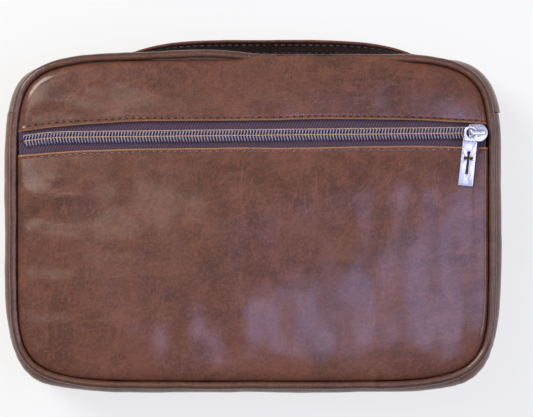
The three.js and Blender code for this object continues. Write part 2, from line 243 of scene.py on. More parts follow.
def sweep(points, out, profile, closed=False):
    """Carries a closed profile of [outward, height] points along an outline run.

    Point (i, j) is run point i + outward direction i * profile j's offset, at profile j's height."""
    profile = np.broadcast_to(profile, (len(points),) + profile.shape[-2:])
    flat = points[:, None, :] + out[:, None, :] * profile[..., :1]
    grid = np.concatenate([flat, profile[..., 1:]], axis=-1)
    if closed:
        grid = grid[:-1]
    return grid.reshape(-1, 3), tube_faces(grid.shape[0], grid.shape[1], closed)


def ring_profile(radius, height, sides=14):
    angle = np.linspace(0, 2 * math.pi, sides, endpoint=False)
    return np.stack([radius * np.cos(angle), height + radius * np.sin(angle)], axis=-1)


def smooth_profile(corners, per_side):
    """A closed smooth line through the corners, as a Catmull-Rom spline."""
    p = np.asarray(corners, dtype=float)
    before, after, beyond = np.roll(p, 1, 0), np.roll(p, -1, 0), np.roll(p, -2, 0)
    t = np.linspace(0, 1, per_side, endpoint=False)[None, :, None]
    p0, p1, p2, p3 = (v[:, None, :] for v in (before, p, after, beyond))
    line = 0.5 * (2 * p1 + (p2 - p0) * t + (2 * p0 - 5 * p1 + 4 * p2 - p3) * t**2
                  + (3 * p1 - p0 - 3 * p2 + p3) * t**3)
    return line.reshape(-1, p.shape[1])


def unit(vectors):
    return vectors / np.linalg.norm(vectors, axis=-1, keepdims=True)


def thread_stitches(name, centres, along, up, body, length=None, thread="waxed_thread"):
    """A row of separate stitches. Each is a short round thread, arched so that its two ends dive into the leather.

    Point (i, j) of a stitch is centre + along*u*length/2 + up*(rise - dip*u^2) + a ring of the thread's radius."""
    length = length or sizes().stitch_pitch * 0.72
    radius = sizes().thread_radius
    dip = radius * 1.6
    u = np.linspace(-1, 1, 7)
    angle = np.linspace(0, 2 * math.pi, 6, endpoint=False)
    side = unit(np.cross(along, up))
    thick = radius * np.sqrt(np.clip(1.12 - np.abs(u) ** 4, 0.08, 1))
    middle = (centres[:, None, :] + along[:, None, :] * (u * length / 2)[None, :, None]
              + up[:, None, :] * (radius * 0.45 - dip * u**2)[None, :, None])
    ring = (side[:, None, None, :] * (thick[:, None] * np.cos(angle))[None, :, :, None]
            + up[:, None, None, :] * (thick[:, None] * np.sin(angle))[None, :, :, None])
    points = (middle[:, :, None, :] + ring).reshape(-1, 3)
    one = tube_faces(len(u), len(angle))
    step = len(u) * len(angle)
    faces = [[corner + k * step for corner in face] for k in range(len(centres)) for face in one]
    return build(name, points, faces, body, material(thread))


# ---- materials -----------------------------------------------------------------------------
def add_node(tree, kind, links=None, values=None, **settings):
    """Adds a node with its settings, its socket values and the links into it."""
    node = tree.nodes.new(kind)
    for key, value in settings.items():
        setattr(node, key, value)
    for key, value in (values or {}).items():
        node.inputs[key].default_value = value
    for key, source in (links or {}).items():
        tree.links.new(source, node.inputs[key])
    return node


def ramp(tree, source, stops):
    """A colour ramp from a list of (position, colour)."""
    node = add_node(tree, "ShaderNodeValToRGB", {"Fac": source})
    elements = node.color_ramp.elements
    while len(elements) < len(stops):
        elements.new(0.5)
    for element, (position, value) in zip(elements, stops):
        element.position = position
        element.color = value if isinstance(value, tuple) else (value, value, value, 1)
    return node.outputs["Color"]


def mix(tree, factor, first, second, blend="MIX"):
    node = add_node(tree, "ShaderNodeMix", data_type="RGBA", blend_type=blend)
    for socket, value in (("Factor", factor), ("A", first), ("B", second)):
        target = [s for s in node.inputs if s.name == socket and (socket == "Factor" and s.type == "VALUE"
                                                                    or s.type == "RGBA")][0]
        if isinstance(value, (float, int, tuple)):
            target.default_value = value
        else:
            tree.links.new(value, target)
    return [s for s in node.outputs if s.type == "RGBA"][0]


def math_node(tree, operation, first, second=0.0, clamp=False):
    node = add_node(tree, "ShaderNodeMath", operation=operation, use_clamp=clamp)
    for i, value in enumerate((first, second)):
        if isinstance(value, (float, int)):
            node.inputs[i].default_value = value
        else:
            tree.links.new(value, node.inputs[i])
    return node.outputs[0]


def noise(tree, where, scale, detail=3.0, rough=0.5, warp=0.0):
    node = add_node(tree, "ShaderNodeTexNoise", {"Vector": where},
                    {"Scale": scale, "Detail": detail, "Roughness": rough, "Distortion": warp})
    return node.outputs["Fac"]


def new_material(name):
    made = bpy.data.materials.new(name)
    made.use_nodes = True
    tree = made.node_tree
    shader = tree.nodes["Principled BSDF"]
    where = add_node(tree, "ShaderNodeTexCoord").outputs["Object"]
    return made, tree, shader, where


def set_bump(tree, shader, height, depth, strength=1.0):
    bump = add_node(tree, "ShaderNodeBump", {"Height": height}, {"Distance": depth, "Strength": strength})
    tree.links.new(bump.outputs["Normal"], shader.inputs["Normal"])


def scratches(tree, where, turn, seed):
    """Long thin scratches: level lines of a noise that is stretched along one heading, faded out in patches."""
    laid = add_node(tree, "ShaderNodeMapping", {"Vector": where},
                    {"Location": (seed, seed, seed), "Rotation": (0, 0, turn), "Scale": (4.5, 1.0, 1.0)},
                    vector_type="TEXTURE")
    level = math_node(tree, "ABSOLUTE", math_node(tree, "SUBTRACT", noise(tree, laid.outputs[0], 95.0, 5.0, 0.6, 0.4), 0.5))
    lines = ramp(tree, level, [(0.0, 1.0), (0.02, 0.0)])
    shown = ramp(tree, noise(tree, laid.outputs[0], 60.0, 3.0), [(0.45, 0.0), (0.62, 0.6)])
    return math_node(tree, "MULTIPLY", lines, shown)


def make_leather(name, base, dark, light, worn, roughness=0.46, wear_and_highlight_amount=1.0, polish=0.6):
    """Waxed artificial leather: softly mottled brown, a pebble grain of about 1 mm, and fine pale creases."""
    made, tree, shader, where = new_material(name)
    patches = noise(tree, where, 26.0, 4.0, 0.55, 0.6)  # patches of about 40 mm
    blotches = noise(tree, where, 95.0, 6.0, 0.65, 0.3)  # blotches of about 10 mm
    specks = noise(tree, where, 620.0, 4.0, 0.65)  # specks of about 1.5 mm
    body = mix(tree, ramp(tree, patches, [(0.32, 0.0), (0.68, 1.0)]), dark, light)
    body = mix(tree, 0.5, body, base)
    body = mix(tree, ramp(tree, blotches, [(0.48, 0.0), (0.72, 0.5)]), body, light)
    body = mix(tree, ramp(tree, blotches, [(0.28, 0.32), (0.5, 0.0)]), body, dark)
    body = mix(tree, ramp(tree, specks, [(0.5, 0.0), (0.72, 0.65)]), body, light)
    body = mix(tree, ramp(tree, specks, [(0.3, 0.45), (0.5, 0.0)]), body, dark)
    shift = add_node(tree, "ShaderNodeTexNoise", {"Vector": where}, {"Scale": 140.0, "Detail": 2.0})
    scaled = add_node(tree, "ShaderNodeVectorMath", {0: shift.outputs["Color"]}, operation="SCALE")
    scaled.inputs["Scale"].default_value = 0.006
    warped = add_node(tree, "ShaderNodeVectorMath", {0: where, 1: scaled.outputs[0]}, operation="ADD")
    creases = add_node(tree, "ShaderNodeTexVoronoi", {"Vector": warped.outputs[0]},
                       {"Scale": 210.0, "Randomness": 1.0}, feature="DISTANCE_TO_EDGE").outputs["Distance"]
    crease_lines = ramp(tree, creases, [(0.0, 0.0), (0.045, 1.0)])
    where_creased = ramp(tree, patches, [(0.42, 0.2), (0.62, 0.04)])
    pale = math_node(tree, "MULTIPLY", math_node(tree, "SUBTRACT", 1.0, crease_lines), where_creased)
    body = mix(tree, pale, body, light)
    for turn, seed in ((0.15, 1.0), (1.45, 2.0), (0.8, 3.0)):
        body = mix(tree, scratches(tree, where, turn, seed), body, light)
    # The attribute mixes in the worn colour: rubbed finish on the piping's crest, a painted highlight along the zip
    # folds.
    wear = add_node(tree, "ShaderNodeAttribute", attribute_name="wear").outputs["Fac"]
    rubbed = math_node(tree, "MULTIPLY", wear, math_node(tree, "ADD", specks, 0.5), clamp=True)
    body = mix(tree, math_node(tree, "MULTIPLY", rubbed, wear_and_highlight_amount, clamp=True), body, worn)
    tree.links.new(body, shader.inputs["Base Color"])
    cells = add_node(tree, "ShaderNodeTexVoronoi", {"Vector": warped.outputs[0]},
                     {"Scale": 850.0, "Randomness": 1.0}, feature="DISTANCE_TO_EDGE").outputs["Distance"]
    grain = math_node(tree, "MULTIPLY", ramp(tree, cells, [(0.0, 0.0), (0.3, 1.0)]),
                      ramp(tree, blotches, [(0.35, 0.75), (0.65, 0.3)]))
    height = math_node(tree, "ADD", grain, math_node(tree, "MULTIPLY", crease_lines, 0.16))
    height = math_node(tree, "ADD", height, math_node(tree, "MULTIPLY", blotches, 0.5))
    set_bump(tree, shader, height, 0.24 * MM, 0.8)
    soft = add_node(tree, "ShaderNodeBump", {"Height": blotches}, {"Distance": 0.16 * MM, "Strength": 0.2})
    tree.links.new(soft.outputs["Normal"], shader.inputs["Coat Normal"])
    gloss = ramp(tree, blotches, [(0.35, roughness + 0.1), (0.65, roughness - 0.06)])
    tree.links.new(gloss, shader.inputs["Roughness"])
    shader.inputs["Specular IOR Level"].default_value = 0.22
    shader.inputs["Coat Weight"].default_value = polish
    shader.inputs["Coat Roughness"].default_value = 0.15
    return made


def make_twill(name, base, dark, pitch, rough=0.85, depth=0.12, steep=1.0):
    """Woven tape: diagonal ribs at the thread's pitch, crossed by finer threads."""
    made, tree, shader, where = new_material(name)
    turned = add_node(tree, "ShaderNodeMapping", {"Vector": where}, {"Rotation": (0.6, 0.5, math.radians(38) * steep)})
    ribs = add_node(tree, "ShaderNodeTexWave", {"Vector": turned.outputs[0]},
                    {"Scale": 1 / (pitch * 6.2832) * 0.95, "Distortion": 0.6, "Detail": 1.0, "Detail Scale": 2.0},
                    bands_direction="X").outputs["Fac"]
    fluff = noise(tree, where, 2600.0, 2.0)
    cloud = noise(tree, where, 60.0, 3.0)
    body = mix(tree, ramp(tree, ribs, [(0.25, 0.0), (0.8, 1.0)]), dark, base)
    body = mix(tree, ramp(tree, cloud, [(0.35, 0.3), (0.6, 0.0)]), body, dark)
    tree.links.new(body, shader.inputs["Base Color"])
    height = math_node(tree, "ADD", ribs, math_node(tree, "MULTIPLY", fluff, 0.5))
    set_bump(tree, shader, height, depth * MM, 0.9)
    shader.inputs["Roughness"].default_value = rough
    shader.inputs["Sheen Weight"].default_value = 0.15
    return made


def make_nylon(name, base):
    """Drawn nylon wire: smooth, half gloss, with a little colour change along it."""
    made, tree, shader, where = new_material(name)
    cloud = noise(tree, where, 700.0, 2.0)
    tree.links.new(mix(tree, ramp(tree, cloud, [(0.3, 0.0), (0.7, 0.4)]), base, linear("#1c1620")),
                   shader.inputs["Base Color"])
    shader.inputs["Roughness"].default_value = 0.3
    set_bump(tree, shader, cloud, 0.02 * MM, 0.6)
    return made


def make_nickel(name, base):
    """Bright nickel plate on die-cast zinc: mirror gloss, softly uneven, with fine scratches along it."""
    made, tree, shader, where = new_material(name)
    cloud = noise(tree, where, 260.0, 3.0)
    stretched = add_node(tree, "ShaderNodeMapping", {"Vector": where}, {"Scale": (3.0, 0.15, 1.0)})
    scratches = noise(tree, stretched.outputs[0], 2600.0, 2.0, 0.7)
    body = mix(tree, ramp(tree, cloud, [(0.4, 0.0), (0.7, 0.3)]), base, linear("#b9bac0"))
    body = mix(tree, ramp(tree, scratches, [(0.55, 0.0), (0.8, 0.45)]), body, linear("#9c9ea6"))
    tree.links.new(body, shader.inputs["Base Color"])
    tree.links.new(ramp(tree, scratches, [(0.4, 0.24), (0.75, 0.38)]), shader.inputs["Roughness"])
    shader.inputs["Metallic"].default_value = 1.0
    height = math_node(tree, "ADD", math_node(tree, "MULTIPLY", scratches, 0.2), cloud)
    set_bump(tree, shader, height, 0.05 * MM, 0.15)
    return made


def make_paper(name, base):
    """Thin book paper: cream, and on the block's sides the fine lines of its leaves."""
    made, tree, shader, where = new_material(name)
    layered = add_node(tree, "ShaderNodeMapping", {"Vector": where}, {"Scale": (900.0, 900.0, 1800.0)})
    leaves = noise(tree, layered.outputs[0], 1.0, 2.0, 0.6)
    body = mix(tree, ramp(tree, leaves, [(0.3, 0.35), (0.6, 0.0)]), base, linear("#cdbf9f"))
    tree.links.new(body, shader.inputs["Base Color"])
    shader.inputs["Roughness"].default_value = 0.85
    set_bump(tree, shader, leaves, 0.08 * MM, 0.6)
    return made


def make_board(name, base):
    """Grey book board: rolled waste paper with pale and dark fibres."""
    made, tree, shader, where = new_material(name)
    fibres = noise(tree, where, 1300.0, 4.0, 0.7, 1.2)
    tree.links.new(mix(tree, ramp(tree, fibres, [(0.35, 0.5), (0.65, 0.0)]), base, linear("#6d665b")),
                   shader.inputs["Base Color"])
    shader.inputs["Roughness"].default_value = 0.95
    set_bump(tree, shader, fibres, 0.05 * MM, 0.5)
    return made


def material(name):
    """The named material, made when it's first asked for."""
    found = bpy.data.materials.get(name)
    if found:
        return found
    c = colour
    makers = {
        "waxed_leather": lambda: make_leather(name, c("leather"), c("leather_dark"), c("leather_light"),
                                              c("leather_worn_and_highlight")),
        "rolled_piping_leather": lambda: make_leather(name, c("piping"), linear("#382220"), linear("#6b4738"),
                                               c("leather_worn_and_highlight"), 0.38, polish=0.6),
        "strap_lining_leather": lambda: make_leather(name, c("strap_lining"), linear("#191317"),
                                                     linear("#41343a"), c("leather"), 0.5, 0.5),
        "bonded_book_leather": lambda: make_leather(name, c("book"), linear("#0e0c0d"), linear("#332c2d"),
                                                    c("leather_dark"), 0.45, 0.3),
        "woven_zip_tape": lambda: make_twill(name, c("tape"), linear("#3b2c3c"), 0.47 * MM),
        "woven_lining": lambda: make_twill(name, c("lining"), linear("#241a19"), 0.6 * MM, 0.9, 0.08),
        "satin_ribbon": lambda: make_twill(name, c("ribbon"), linear("#4e1019"), 0.4 * MM, 0.35, 0.04),
        # The coil's pale colour is a painted highlight that stands for glints on dark nylon.
        "nylon_coil": lambda: make_nylon(name, c("coil")),
        "waxed_thread": lambda: make_nylon(name, c("thread")),
        # Dark nylon for the end stop, and for the cords inside the pocket zip's coils, where it paints the shade
        # between the turns.
        "dark_filler_cord": lambda: make_nylon(name, linear("#1f1b2c")),
        "pale_waxed_thread": lambda: make_nylon(name, linear("#86726f")),
        "coil_sewing_thread": lambda: make_nylon(name, c("coil_thread")),
        "nickel_plate": lambda: make_nickel(name, c("nickel")),
        "book_paper": lambda: make_paper(name, c("paper")),
        "pressed_grey_board": lambda: make_board(name, linear("#8f877a")),
    }
    return makers[name]()


def finish_node(node, material_name):
    """Gives a frame node that stays visible its finished material."""
    frame_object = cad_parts[node]
    frame_object.material_slots[0].material = material(material_name)


# ---- front cover ---------------------------------------------------------------------------
def overhang(x, y):
    """1 along the right of the spine edge, where the cover swells over its piping, and 0 elsewhere."""
    return smooth_step(x, -20 * MM, 10 * MM) * (1 - smooth_step(x, 64 * MM, 84 * MM)) * (y > 0)


def pulled(x, y):
    """1 at the left of the spine edge, where the handle pulls the piping up, and 0 elsewhere."""
    return smooth_step(x, -64 * MM, -32 * MM) * (1 - smooth_step(x, -24 * MM, 8 * MM)) * (y > 0)


def zip_bow(x):
    """How far the pocket zip sags towards the fore-edge at x: 2.4 mm at its left end and 1 mm at its right."""
    left = np.clip((-x - 60 * MM) / (60 * MM), 0, None) ** 2
    right = np.clip((x - 60 * MM) / (60 * MM), 0, None) ** 2
    return -2.4 * MM * left - 1.0 * MM * right


def zip_line(x, offset):
    """The y of a line that runs along the pocket zip, offset from its middle."""
    return ZIP_Y + x * math.tan(ZIP_TILT) + zip_bow(x) + offset


def fold_line(x, above):
    """The y of the leather fold above or below the pocket zip. The upper one sags at both ends."""
    half = sizes().zip_opening / 2
    sag = 2.2 * MM * np.abs(x / (121 * MM)) ** 3
    ripple = 0.22 * MM * waves(x, 5 if above else 6, longest=0.12)
    return zip_line(x, half + 0.9 * MM - sag + ripple if above else ripple - half + 0.4 * MM)


def stitch_offset(x, above):
    """How far a stitch row runs from its fold: further at the left end of the upper fold."""
    return (1.6 * MM + 0.9 * MM * smooth_step(-x, 40 * MM, 120 * MM)) if above else -1.8 * MM + 0 * x


def panel_edge(points, out):
    """The cover's edge: 2.3 mm inside the piping's middle line, or 0.2 mm inside it where it overhangs."""
    over = overhang(points[:, 0], points[:, 1])
    inset = -2.3 * MM + 2.1 * MM * over
    return points + out * inset[:, None], over


def cover_heights(grid, edge, over, zip_gap, stitch_gap):
    """Height of the cover's leather: a soft crown, rolled down at the piping and at the zip fold.

    Both rolls are quarter ellipses, 1 - sqrt(1 - (1 - e/w)^2), where e is the distance from the edge."""
    x, y = grid[..., 0], grid[..., 1]
    from_edge = np.linalg.norm(edge[:, None, :] - grid[..., :2], axis=-1)
    swell = sizes().padding * (1 - np.exp(-from_edge / (15 * MM)))
    swell += 0.26 * MM * waves_2d(x, y, 11) * smooth_step(from_edge, 0, 20 * MM)
    left = smooth_step(-x, 30 * MM, 110 * MM) * smooth_step(from_edge, 1 * MM, 12 * MM)
    swell += 0.28 * MM * left * waves_2d(0.35 * x, y, 17, longest=0.034)
    roll = np.clip(1 - from_edge / (5.2 * MM), 0, 1)
    drop = (2.5 * MM - 1.3 * MM * over[:, None]) * (1 - np.sqrt(np.clip(1 - roll**2, 0, 1)))
    swell *= smooth_step(zip_gap, -6 * MM, 26 * MM) * 0.75 + 0.25
    fold = np.clip(1 - zip_gap / (0.8 * MM), 0, 1)
    fold_drop = 0.95 * MM * (1 - np.sqrt(np.clip(1 - fold**2, 0, 1)))
    ridge = 0.3 * MM * (1 - smooth_step(zip_gap, stitch_gap - 0.5 * MM, stitch_gap + 0.9 * MM))
    groove = 0.22 * MM * np.exp(-((zip_gap - stitch_gap) / (0.5 * MM)) ** 2)
    return FRONT_TOP + swell - drop - fold_drop + ridge - groove


def make_cover_panel(name, above, node):
    """One leather panel of the front cover, between the pocket zip and the outline.

    Point (i, j) lies at fraction t_j of the straight line from fold point i to outline point i, where
    t_j = (1 - cos(pi * j / n)) / 2 puts the rows close together at both edges."""
    fold_ends = [float(fold_line(np.array(x), above)) for x in (HALF_X, -HALF_X)]
    right, left = side_angle(fold_ends[0], 1), side_angle(fold_ends[1], -1)
    start, stop = (right, left) if above else (left % (2 * math.pi), right + 2 * math.pi)
    points, out, _ = outline(1.0 * MM, start, stop)
    edge, over = panel_edge(points, out)
    inner_x = np.linspace(edge[0, 0], edge[-1, 0], len(edge))
    inner = np.c_[inner_x, fold_line(inner_x, above)]
    edge[0, 1], edge[-1, 1] = inner[0, 1], inner[-1, 1]
    t = (1 - np.cos(np.linspace(0, math.pi, 70))) / 2
    grid = inner[:, None, :] * (1 - t)[None, :, None] + edge[:, None, :] * t[None, :, None]
    zip_gap = np.abs(grid[..., 1] - fold_line(grid[..., 0], above))
    heights = cover_heights(grid, edge, over, zip_gap, np.abs(stitch_offset(grid[..., 0], above)))
    surface = np.concatenate([grid, heights[..., None]], axis=-1).reshape(-1, 3)
    faces = grid_faces(*grid.shape[:2])
    piece = build(name, surface, faces.tolist(), "front_half", material("waxed_leather"),
                  fix_normals=False)
    if piece.data.polygons[len(faces) // 2].normal.z < 0:
        piece.data.flip_normals()
    # The tan band along the zip fold is partly rubbed finish and partly a painted highlight.
    add_wear_and_highlight(piece, 1.3 * np.exp(-((zip_gap - 0.12 * MM) / (0.42 * MM)) ** 2).reshape(-1))
    solid = piece.modifiers.new("leather", "SOLIDIFY")
    solid.thickness = 1.0 * MM
    solid.offset = -1
    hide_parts(node)
    return surface[zip_gap.reshape(-1) < 6 * MM]


def height_over(surface, x, y):
    """Height of a surface's points at each (x, y): the mean of the four nearest, weighted by 1 / distance^2."""
    distance = np.hypot(surface[None, :, 0] - x[:, None], surface[None, :, 1] - y[:, None])
    nearest = np.argsort(distance, axis=1)[:, :4]
    weight = 1 / (np.take_along_axis(distance, nearest, axis=1) ** 2 + 1e-12)
    return (surface[nearest, 2] * weight).sum(axis=1) / weight.sum(axis=1)


# Stores the float attribute that mixes in the worn colour: real wear on the piping, a painted highlight on the zip
# folds.
def add_wear_and_highlight(piece, values):
    piece.data.attributes.new("wear", "FLOAT", "POINT").data.foreach_set("value", np.asarray(values, dtype=np.float32))


class BIBLECASE_OT_front_cover(bpy.types.Operator):
    """Makes the two leather panels of the front cover and the stitch rows beside the pocket zip"""

    bl_idname = "biblecase.front_cover"
    bl_label = "Front cover"

    def execute(self, context):
        for name, above, node, thread in (("front_upper_leather", True, "front_upper_panel", "waxed_thread"),
                                         ("front_pocket_leather", False, "front_pocket_panel", "pale_waxed_thread")):
            surface = make_cover_panel(name, above, node)
            x = np.arange(-117 * MM, 119 * MM, sizes().stitch_pitch)
            y = fold_line(x, above) + stitch_offset(x, above)
            middle = np.c_[x, y, height_over(surface, x, y) + 0.1 * MM]
            along = unit(np.gradient(middle, axis=0))
            thread_stitches(f"zip_stitches_{'upper' if above else 'lower'}", middle, along,
                            np.tile([0.0, 0.0, 1.0], (len(x), 1)), "front_half",
                            length=sizes().stitch_pitch * (0.5 if above else 0.66), thread=thread)
        return {"FINISHED"}


# ---- piping and gusset ---------------------------------------------------------------------
class BIBLECASE_OT_piping(bpy.types.Operator):
    """Makes the leather piping round the front and back covers"""

    bl_idname = "biblecase.piping"
    bl_label = "Piping"

    def execute(self, context):
        for side, height, body in (("front", FRONT_PIPING_Z, "front_half"), ("back", BACK_PIPING_Z, "back_half")):
            points, out, distance = outline(1.0 * MM, 0.5 * math.pi + 0.03, 2.5 * math.pi + 0.029)
            over = overhang(points[:, 0], points[:, 1]) * (side == "front")
            radius = sizes().piping_radius * (1 + 0.035 * waves(distance, 3, longest=0.03))
            profile = ring_profile(1.0, 0.0, 16)[None] * radius[:, None, None]
            profile[..., 0] += (0.12 * MM * waves(distance, 4, longest=0.05))[:, None]
            if side == "front":
                profile[..., 0] += (1.3 * MM * pulled(points[:, 0], points[:, 1]) - 0.9 * MM * over)[:, None]
            profile[..., 1] += (height - 0.8 * MM * over)[:, None]
            vertices, faces = sweep(points, out, profile)
            piece = build(f"{side}_piping", vertices, faces, body, material("rolled_piping_leather"))
            around = np.tile(np.linspace(0, 2 * math.pi, 16, endpoint=False), len(points))
            facing = 1.8 if side == "front" else -1.8
            streak = np.exp(-((np.angle(np.exp(1j * (around - facing)))) / 0.24) ** 2)
            add_wear_and_highlight(piece, 0.2 * streak)
            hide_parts(f"{side}_piping_welt")
        return {"FINISHED"}


GUSSET_PROFILE = [
    (1.4, 47.0), (3.5, 44.4), (4.6, 40.8), (4.0, 36.6), (1.6, 33.4), (-1.2, 31.7),
    (-1.9, 32.6), (0.6, 34.6), (2.6, 37.4), (3.2, 40.8), (2.3, 43.8), (0.2, 46.4),
]


def zip_run(spacing, end_y=56 * MM, start_y=56 * MM):
    """The outline from the left side, round the fore-edge, to the right side, as far as the main zip runs."""
    return outline(spacing, side_angle(start_y, -1), side_angle(end_y, 1) + 2 * math.pi)


class BIBLECASE_OT_gusset(bpy.types.Operator):
    """Makes the two bulging leather strips round the sides and the fore-edge"""

    bl_idname = "biblecase.gusset"
    bl_label = "Gusset"

    def execute(self, context):
        points, out, distance = zip_run(0.9 * MM)
        profile = smooth_profile(np.array(GUSSET_PROFILE) * MM, 3)
        bulge = np.clip(profile[:, 0], 0, None) / (4.6 * MM)
        turn = np.linalg.norm(np.gradient(out, distance, axis=0), axis=1)
        corner = np.convolve(np.clip(turn * 30 * MM, 0, 1), np.hanning(15) / np.hanning(15).sum(), "same")
        for side, flip, seed, body in (("front", False, 21, "front_half"), ("back", True, 27, "back_half")):
            swing = 0.25 * MM * waves(distance, seed, longest=0.08) - 0.4 * MM
            side_part = smooth_step(np.abs(points[:, 0]), HALF_X - 22 * MM, HALF_X)
            swing += 1.1 * MM * side_part * (1 - smooth_step(-points[:, 1], 38 * MM, 60 * MM))
            swing += 2.0 * MM * corner * smooth_step(-points[:, 1], 64 * MM, 82 * MM)
            pucker = 0.07 * MM * corner * np.sin(2 * math.pi * distance / (5.2 * MM) + waves(distance, seed + 1))
            shaped = np.broadcast_to(profile, (len(points),) + profile.shape).copy()
            shaped[..., 0] += (swing + pucker)[:, None] * bulge[None]
            if flip:
                shaped[..., 1] = 2 * MID_Z - shaped[..., 1]
            vertices, faces = sweep(points, out, shaped)
            piece = build(f"{side}_gusset", vertices, faces, body, material("waxed_leather"))
            add_wear_and_highlight(piece, np.zeros(len(piece.data.vertices)))
            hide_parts(f"{side}_gusset_strip")
        return {"FINISHED"}


# ---- zips ----------------------------------------------------------------------------------
def coil(name, length, place, sign, body, node):
    """One coil of a zip, a flattened helix of nylon wire beside the zip's middle line.

    At turn t the wire's middle is x = pitch*t, y = sign*(1.42 - 1.5 cos 2 pi t) mm, z = 1.15 + 0.78 sin 2 pi t mm
    over the tape. place turns those x, y, z arrays into points."""
    pitch, wire = sizes().coil_pitch, sizes().coil_wire
    turns = int(length / pitch)
    t = np.linspace(0, turns, turns * 12 + 1) + (0.25 if sign > 0 else 0.75)
    angle = 2 * math.pi * t
    middle = np.c_[pitch * t, sign * (1.42 - 1.5 * np.cos(angle)) * MM, (1.15 + 0.78 * np.sin(angle)) * MM]
    heading = unit(np.gradient(middle, axis=0))
    side = unit(np.cross(heading, np.array([1.0, 0.0, 0.0]) + 1e-9))
    across = np.cross(heading, side)
    ring = np.linspace(0, 2 * math.pi, 6, endpoint=False)
    tube = (middle[:, None, :] + side[:, None, :] * (wire * np.cos(ring))[None, :, None]
            + across[:, None, :] * (wire * np.sin(ring))[None, :, None])
    points = place(tube.reshape(-1, 3))
    piece = build(name, points, tube_faces(len(middle), len(ring)), body, material("nylon_coil"))
    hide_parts(node)
    return piece


def on_pocket_zip(local):
    """Turns points beside the pocket zip's middle line into their places: straight, but sagging at its left end."""
    c, s = math.cos(ZIP_TILT), math.sin(ZIP_TILT)
    x, y = local[:, 0], local[:, 1]
    sag = -2.0 * MM * (np.clip(-x - 95 * MM, 0, None) / (25 * MM)) ** 2
    return np.c_[x * c - y * s, ZIP_Y + x * s + y * c + sag, ZIP_TAPE_Z + local[:, 2]]


class BIBLECASE_OT_pocket_zip(bpy.types.Operator):
    """Makes the tapes, coils and end stop of the pocket zip"""

    bl_idname = "biblecase.pocket_zip"
    bl_label = "Pocket zip"

    def execute(self, context):
        start = -120 * MM
        for side, sign in (("upper", 1), ("lower", -1)):
            place = lambda p: on_pocket_zip(p + np.array([start, 0, 0]))
            coil(f"pocket_coil_{side}", 231 * MM, place, sign, "front_half", f"pocket_zip_coil_{side}")
            x = np.linspace(-122.2, 121.5, 240) * MM
            y = np.linspace(0.15, 10.6, 22) * MM * sign
            grid_x, grid_y = np.meshgrid(x, y, indexing="ij")
            droop = 0.18 * MM * waves_2d(grid_x, grid_y, 31, longest=0.05) - 0.1 * MM
            surface = on_pocket_zip(np.c_[grid_x.ravel(), grid_y.ravel(), droop.ravel()])
            faces = grid_faces(len(x), len(y))
            piece = build(f"pocket_tape_{side}", surface, faces.tolist(), "front_half",
                          material("woven_zip_tape"), fix_normals=False)
            if piece.data.polygons[5].normal.z < 0:
                piece.data.flip_normals()
            solid = piece.modifiers.new("tape", "SOLIDIFY")
            solid.thickness = 0.45 * MM
            solid.offset = -1
            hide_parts(f"pocket_zip_tape_{side}")
        for name, row, height in (("middle", -0.1, 1.95), ("upper", 2.85, 1.25)):
            self.run_cord(f"pocket_coil_thread_{name}", row * MM, height * MM, 0.26 * MM, "coil_sewing_thread")
        # The dark cords inside the coils are painted shade, seen between the turns.
        for name, row in (("upper", 1.42), ("lower", -1.42)):
            self.run_cord(f"pocket_coil_core_{name}", row * MM, 1.15 * MM, 0.42 * MM, "dark_filler_cord")
        points, faces = plate(rectangle(-118.8, -2.9, -117.6, 2.9), 0.1 * MM, 1.3 * MM, 0.25 * MM)
        stop = build("pocket_zip_end_stop", on_pocket_zip(points), faces, "front_half",
                     material("dark_filler_cord"))
        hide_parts("pocket_zip_stop")
        return {"FINISHED"}


    def run_cord(self, name, row, height, thickness, material_name):
        """A thin cord along the coils, which bulges at each turn: its radius is r (1 + 0.25 cos(2 pi x / pitch))."""
        pitch = sizes().coil_pitch
        x = np.arange(-119.5 * MM, 111 * MM, pitch / 5)
        radius = thickness * (1 + 0.25 * np.cos(2 * math.pi * x / pitch))
        angle = np.linspace(0, 2 * math.pi, 6, endpoint=False)
        local = np.stack([np.broadcast_to(x[:, None], (len(x), 6)), row + radius[:, None] * np.cos(angle),
                          height + radius[:, None] * np.sin(angle)], axis=-1)
        build(name, on_pocket_zip(local.reshape(-1, 3)), tube_faces(len(x), 6), "front_half",
              material(material_name))


class BIBLECASE_OT_main_zip(bpy.types.Operator):
    """Makes the coils of the main zip, and finishes its tapes"""

    bl_idname = "biblecase.main_zip"
    bl_label = "Main zip"

    def execute(self, context):
        points, out, distance = zip_run(0.4 * MM, 37 * MM, 50 * MM)
        base = -2.7 * MM + 0.5 * MM

        def place(local):
            x, y = (np.interp(local[:, 0], distance, points[:, k]) for k in (0, 1))
            out_x, out_y = (np.interp(local[:, 0], distance, out[:, k]) for k in (0, 1))
            away = base + local[:, 2]
            return np.c_[x + out_x * away, y + out_y * away, MID_Z + local[:, 1]]

        for side, sign, body in (("front", 1, "front_half"), ("back", -1, "back_half")):
            coil(f"main_coil_{side}", distance[-1] - 2 * MM, place, sign, body, f"main_zip_coil_{side}")
            finish_node(f"main_zip_tape_{side}", "woven_zip_tape")
        return {"FINISHED"}


SLIDER_X = 117 * MM  # where the pocket slider rests along its zip
EYE = np.array([-3.6, 0.0, 4.5]) * MM  # middle of a pull's eye, from its slider's middle


def on_pocket_slider(local):
    c, s = math.cos(ZIP_TILT), math.sin(ZIP_TILT)
    x = SLIDER_X + local[:, 0]
    return np.c_[x * c - local[:, 1] * s, ZIP_Y + x * s + local[:, 1] * c, 50 * MM + local[:, 2]]


def on_main_slider(local):
    return np.c_[HALF_X - 2.7 * MM + local[:, 2], 44 * MM + local[:, 0], MID_Z + local[:, 1]]


